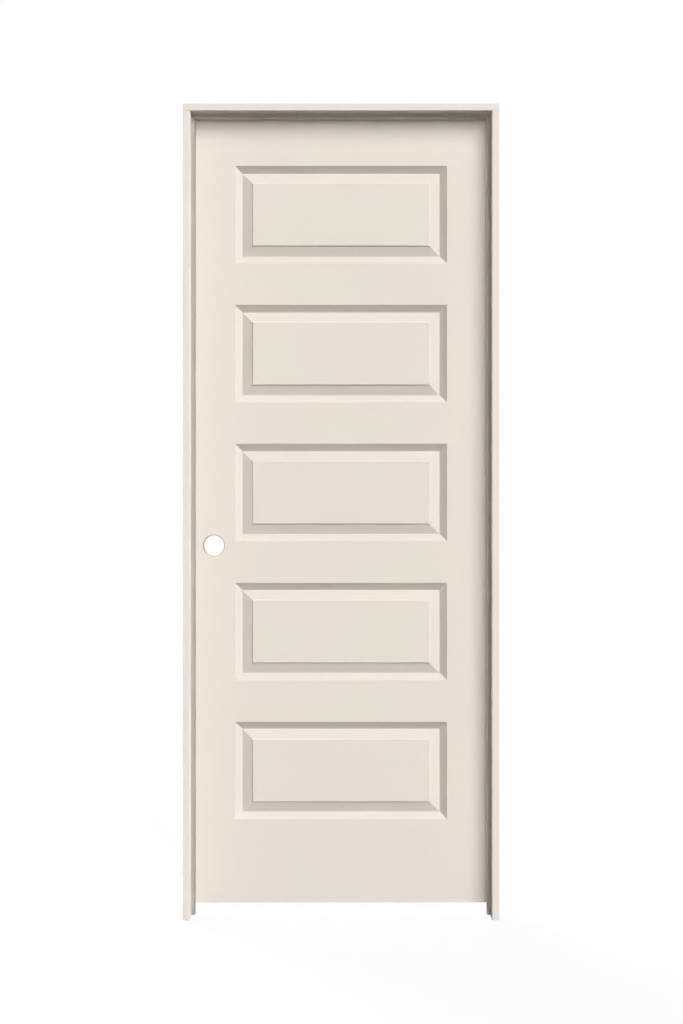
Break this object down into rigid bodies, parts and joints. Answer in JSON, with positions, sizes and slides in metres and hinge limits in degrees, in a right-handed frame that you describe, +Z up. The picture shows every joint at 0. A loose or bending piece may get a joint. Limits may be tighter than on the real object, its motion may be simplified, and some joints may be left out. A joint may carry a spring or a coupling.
{
  "type": "prehung interior door",
  "caption": "Prehung interior door: a hollow leaf with moulded horizontal raised panels, hung on butt hinges in a flat jamb with applied stops and bored for a knob set.",
  "frame": {"origin": "on the hinge jamb's outer face, at the floor and at the middle of the jamb's depth", "axes": "+Z up; +X out of the hinge jamb's outer face; the stop side faces -Y and the leaf opens to +Y"},
  "size_m": [0.807, 0.1383, 2.0845],
  "materials": {
    "primed_skin": "cream factory primer on pressed wood fibre, satin matt",
    "primed_jamb": "cream factory primer on finger-jointed softwood",
    "edge_wood": "thin cream primer on softwood edges",
    "block_wood": "raw sawn wood, seen inside the bore",
    "hinge_steel": "satin nickel plate"
  },
  "bodies": {
    "frame": {"head_jamb": "primed_jamb", "latch_jamb": "primed_jamb", "hinge_jamb": "primed_jamb", "head_stop": "primed_jamb", "latch_stop": "primed_jamb", "hinge_stop": "primed_jamb", "upper_hinge_jamb_leaf": "hinge_steel", "middle_hinge_jamb_leaf": "hinge_steel", "lower_hinge_jamb_leaf": "hinge_steel", "upper_hinge_pin": "hinge_steel", "middle_hinge_pin": "hinge_steel", "lower_hinge_pin": "hinge_steel"},
    "door": {"front_skin": "primed_skin", "back_skin": "primed_skin", "latch_stile": "edge_wood", "hinge_stile": "edge_wood", "top_rail": "edge_wood", "bottom_rail": "edge_wood", "lock_block": "block_wood", "upper_hinge_door_leaf": "hinge_steel", "middle_hinge_door_leaf": "hinge_steel", "lower_hinge_door_leaf": "hinge_steel"}
  },
  "joints": [
    {"name": "door_swing", "type": "hinge", "parent": "frame", "child": "door", "pos_m": [-0.02, 0.07375, 1.046], "axis": [0, 0, -1], "range_deg": [0, 180]}
  ]
}
